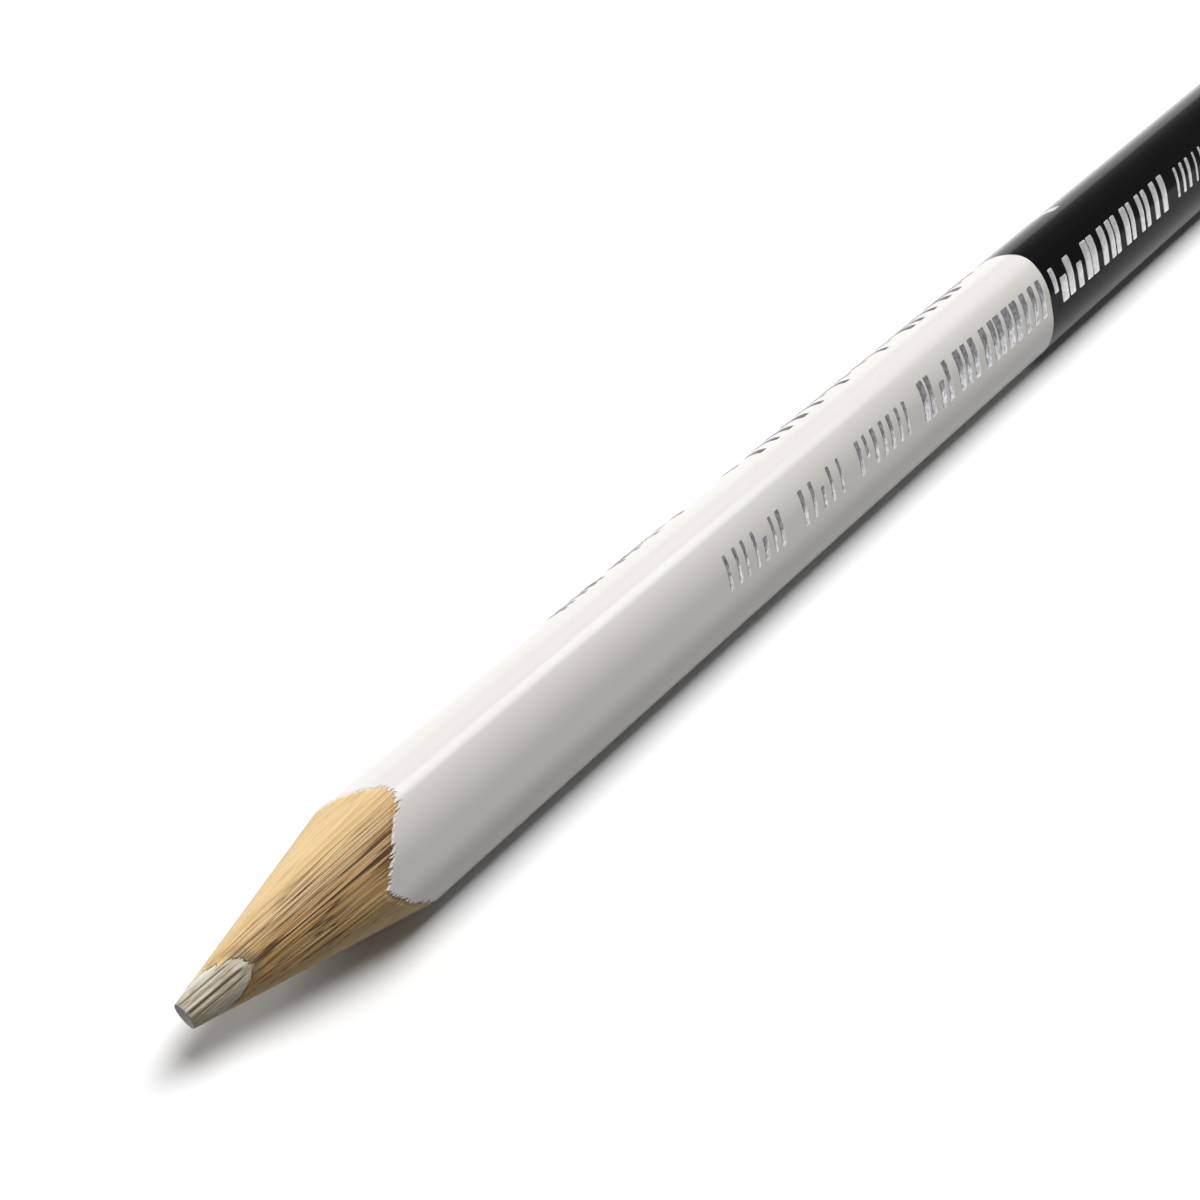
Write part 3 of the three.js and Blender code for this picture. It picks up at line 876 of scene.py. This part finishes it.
def silver_foil(name, bright, dull, roughness):
    """Silver stamping foil: metal, brighter and duller in spots, and crinkled where it
    follows the ripple of the paint."""
    material, tree = new_material(name)
    place = add_node(tree, "ShaderNodeTexCoord")
    crinkle = add_node(tree, "ShaderNodeTexNoise", {
        "Vector": place.outputs["Object"], "Scale": 1 / (0.3 * MM), "Detail": 3, "Roughness": 0.6})
    wear = add_node(tree, "ShaderNodeMapRange", {
        "Value": crinkle.outputs[0], "From Min": 0.35, "From Max": 0.7})
    tone = add_node(tree, "ShaderNodeMix", {
        0: wear.outputs[0], MIX_A: linear(bright), MIX_B: linear(dull)}, data_type="RGBA")
    bump = add_node(tree, "ShaderNodeBump", {
        "Height": crinkle.outputs[0], "Strength": 0.7, "Distance": 0.03 * MM})
    stamped = add_node(tree, "ShaderNodeBsdfPrincipled", {
        "Base Color": tone.outputs[MIX_RESULT], "Metallic": 1, "Roughness": roughness,
        "Normal": bump.outputs[0]})
    add_node(tree, "ShaderNodeOutputMaterial", {"Surface": stamped.outputs[0]})
    return material


# On the white coat the foil has a darker colour, darker still in places: painted shade for the
# darker reflections in its marks. The back face's foil is darker again, painted shade for the
# dim room that it reflects
black_coat_foil = silver_foil("silver_stamping_foil", "#f2f2f3", "#d6d6d8", 0.42)
painted_dark_white_coat_foil = silver_foil("silver_foil_painted_darker", "#d8d8da", "#8c8c90", 0.24)
painted_shade_back_foil = silver_foil("silver_foil_with_painted_shade", "#6f6f72", "#3f3f42", 0.4)


def foil_bars(name, foil, face, slant, rows):
    """Bars on one face, each a thin closed cushion, uneven at random in place, width and length.

    A row is its first X, last X, count, bar width and lowest and highest place across the
    face. Over a bar, one parameter runs across the face and one along the bar's width, which
    the slant shifts in X. The top stands proud by a product of two flat-topped bells, less
    the depth at which its edge bites."""
    perimeter = np.linalg.norm(np.diff(outline, axis=0, append=outline[:1]), axis=1).sum()
    chance = np.random.default_rng(face + 7 * len(rows))
    place = np.concatenate([np.linspace(row[0], row[1], row[2]) for row in rows])[:, None, None]
    width, low, high = (np.repeat([row[i] for row in rows], [row[2] for row in rows])[:, None, None]
                        for i in (3, 4, 5))
    place = place + width * chance.uniform(-FOIL_SHIFT, FOIL_SHIFT, place.shape)
    width = width * chance.uniform(*FOIL_WIDTHS, place.shape)
    cropped = (high - low) * chance.choice(FOIL_CROPS, place.shape)
    from_top = chance.random(place.shape) < 0.5
    low, high = np.where(from_top, low, low + cropped), np.where(from_top, high - cropped, high)
    u, v = np.meshgrid(*(np.linspace(-1, 1, steps) for steps in FOIL_GRID), indexing="ij")
    across = (low + high) / 2 + u * (high - low) / 2
    x = place + v * width / 2 + slant * across
    at = ((face / 3 - across / perimeter) % 1) * len(outline)
    run = np.arange(len(outline))
    skin, out = (np.stack([np.interp(at, run, values[:, i], period=len(outline)) for i in (0, 1)], axis=-1)
                 for values in (outline, outline_normals))
    bells = (1 - u**FOIL_FLATNESS[0]) * (1 - v**FOIL_FLATNESS[1])
    layers = [np.broadcast_to(skin + out * (height - FOIL_SUNK)[..., None], x.shape + (2,))
              for height in (bells * (FOIL_PROUD + FOIL_SUNK), np.full(u.shape, -FOIL_BACKING))]
    points = np.stack([np.concatenate([x[..., None], layer], axis=-1) for layer in layers], axis=1)

    ids = np.arange(u.size).reshape(u.shape)
    cells = np.stack([ids[:-1, :-1], ids[:-1, 1:], ids[1:, 1:], ids[1:, :-1]], axis=-1).reshape(-1, 4)
    rim = np.concatenate([ids[0, :-1], ids[:-1, -1], ids[-1, :0:-1], ids[:0:-1, 0]])
    after = np.roll(rim, -1)
    wall = np.stack([after, rim, rim + ids.size, after + ids.size], axis=-1)
    one_bar = np.concatenate([cells, cells[:, ::-1] + ids.size, wall])
    faces = (one_bar + 2 * ids.size * np.arange(place.size)[:, None, None]).reshape(-1, 4)
    made = put_mesh(name, points.reshape(-1, 3), faces)
    made.data.materials.append(foil)
    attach(made, "root")


# Bar width, and lowest and highest place across the face, of each kind of row
FRONT_FINE, FRONT_BOLD = (0.42, -0.3, 2.0), (0.8, -0.5, 2.3)
BACK_FINE, BACK_BOLD = (0.5, -1.1, 0.9), (0.7, -1.9, 0.9)

foil_bars("white_front_foil", painted_dark_white_coat_foil, FRONT_FACE, FRONT_SLANT, (
    (-42.6, -36.6, 7, *FRONT_FINE), (-33.8, -29.4, 5, *FRONT_FINE), (-27.0, -20.8, 7, *FRONT_FINE),
    (-18.5, -1.0, 15, *FRONT_BOLD)))
foil_bars("black_front_foil", black_coat_foil, FRONT_FACE, FRONT_SLANT, (
    (1.0, 19.2, 15, 0.85, -0.5, 2.3), (21.8, 60.0, 33, *FRONT_FINE)))
foil_bars("white_back_foil", painted_shade_back_foil, BACK_FACE, BACK_SLANT, (
    (-52.4, -51.4, 2, *BACK_FINE), (-50.2, -48.6, 3, *BACK_FINE), (-46.3, -44.7, 3, *BACK_FINE),
    (-43.7, -42.7, 2, *BACK_FINE), (-41.4, -40.2, 2, *BACK_FINE), (-33.4, -2.0, 19, *BACK_BOLD)))
foil_bars("black_back_foil", black_coat_foil, BACK_FACE, BACK_SLANT, (
    (9.6, 9.6, 1, 0.9, -1.9, 0.9),))


# Studio: a white table under a long strip lamp, with a weaker and wider lamp low down
# behind, in a room that is dim all round.
TABLE_HALF = 3.0

# Share of plain white that the table shows by itself: a little beside the pencil, so that
# the shadow stays, and all of it from LIFT_TO metres off
FLOOR_LIFT = 0.015
LIFT_FROM, LIFT_TO = 0.13, 0.5


def white_table():
    """Matt white board. Seen straight on, in a gloss or through a glass it is plain white,
    the more so the further off it lies, and it sends a greyer light back to the pencil."""
    material, tree = new_material("matt_white_board")
    path = add_node(tree, "ShaderNodeLightPath")
    seen = add_node(tree, "ShaderNodeMath", {
        0: path.outputs["Is Camera Ray"], 1: path.outputs["Is Glossy Ray"]}, operation="MAXIMUM")
    seen = add_node(tree, "ShaderNodeMath", {
        0: seen.outputs[0], 1: path.outputs["Is Transmission Ray"]}, operation="MAXIMUM")
    place = add_node(tree, "ShaderNodeTexCoord")
    far = add_node(tree, "ShaderNodeVectorMath", {0: place.outputs["Object"]}, operation="LENGTH")
    lift = add_node(tree, "ShaderNodeMapRange", {
        "Value": far.outputs["Value"], "From Min": LIFT_FROM, "From Max": LIFT_TO,
        "To Min": FLOOR_LIFT, "To Max": 1})
    strength = add_node(tree, "ShaderNodeMath", {
        0: seen.outputs[0], 1: lift.outputs[0]}, operation="MULTIPLY")
    glow = add_node(tree, "ShaderNodeEmission", {"Strength": strength.outputs[0]})
    paint = add_node(tree, "ShaderNodeMix", {
        0: seen.outputs[0], MIX_A: linear("#949494"), MIX_B: linear("#ffffff")}, data_type="RGBA")
    board = add_node(tree, "ShaderNodeBsdfDiffuse", {"Color": paint.outputs[MIX_RESULT]})
    white = add_node(tree, "ShaderNodeAddShader", {0: board.outputs[0], 1: glow.outputs[0]})
    add_node(tree, "ShaderNodeOutputMaterial", {"Surface": white.outputs[0]})
    return material


table = bpy.data.meshes.new("table_top")
table.from_pydata([(x, y, 0) for x, y in ((-1, -1), (1, -1), (1, 1), (-1, 1))], [], [(0, 1, 2, 3)])
table.transform(Matrix.Scale(TABLE_HALF, 4))
table.materials.append(white_table())
table_top = bpy.data.objects.new("table_top", table)
bpy.context.scene.collection.objects.link(table_top)


# Place, place it points at, width and height in metres, and power in watts
STRIP_LAMP = ((0.3, 0.09, 0.75), (0.3, 0.09, 0), (1.2, 0.44), 8.7)
BACK_LAMP = ((-0.7, 0.9, 0.5), (0, 0, 0), (1.6, 0.6), 8.4)


def soft_lamp(name, place, target, size, power):
    """A soft rectangular lamp, turned to point at its target."""
    light = bpy.data.lights.new(name, "AREA")
    light.shape = "RECTANGLE"
    light.size, light.size_y = size
    light.energy = power
    made = bpy.data.objects.new(name, light)
    bpy.context.scene.collection.objects.link(made)
    aim = (Vector(target) - Vector(place)).to_track_quat("-Z", "Y")
    made.matrix_world = Matrix.LocRotScale(Vector(place), aim, None)


soft_lamp("strip_lamp_above", *STRIP_LAMP)
soft_lamp("wide_lamp_behind", *BACK_LAMP)

# The room's strength as light, and as metal, gloss and glass show it. Straight on it is white
WORLD_STRENGTH = 0.05
ROOM_SEEN = 0.35
world = bpy.data.worlds.new("studio")
bpy.context.scene.world = world
world.use_nodes = True
room = world.node_tree
room.nodes.clear()
path = add_node(room, "ShaderNodeLightPath")
strength = add_node(room, "ShaderNodeMapRange", {
    "Value": path.outputs["Is Diffuse Ray"], "To Min": ROOM_SEEN, "To Max": WORLD_STRENGTH})
plain = add_node(room, "ShaderNodeMath", {
    0: path.outputs["Is Camera Ray"], 1: strength.outputs[0]}, operation="MAXIMUM")
walls = add_node(room, "ShaderNodeBackground", {"Color": (1, 1, 1, 1), "Strength": plain.outputs[0]})
add_node(room, "ShaderNodeOutputWorld", {"Surface": walls.outputs[0]})

# Camera: where the photo was taken from, fitted to the pencil's outline in it. The place is
# in metres and the lens in millimetres
CAMERA_PLACE = (-0.166319, -0.045643, 0.104809)
CAMERA_HEADING = math.radians(67.907)
CAMERA_PITCH = math.radians(38.384)
CAMERA_ROLL = math.radians(-17.05)
CAMERA_LENS = 88.53

lens = bpy.data.cameras.new("photo_camera")
lens.lens, lens.sensor_width, lens.clip_start = CAMERA_LENS, 36, 0.01
camera = bpy.data.objects.new("photo_camera", lens)
bpy.context.scene.collection.objects.link(camera)
bpy.context.scene.camera = camera
forward = Vector((
    math.sin(CAMERA_HEADING) * math.cos(CAMERA_PITCH),
    math.cos(CAMERA_HEADING) * math.cos(CAMERA_PITCH),
    -math.sin(CAMERA_PITCH)))
level_right = forward.cross(Vector((0, 0, 1))).normalized()
level_up = level_right.cross(forward)
up = math.cos(CAMERA_ROLL) * level_up + math.sin(CAMERA_ROLL) * level_right
right = forward.cross(up)
turned = Matrix((right, up, -forward)).transposed()
camera.matrix_world = Matrix.LocRotScale(Vector(CAMERA_PLACE), turned.to_quaternion(), None)
bpy.context.scene.view_settings.view_transform = "Standard"
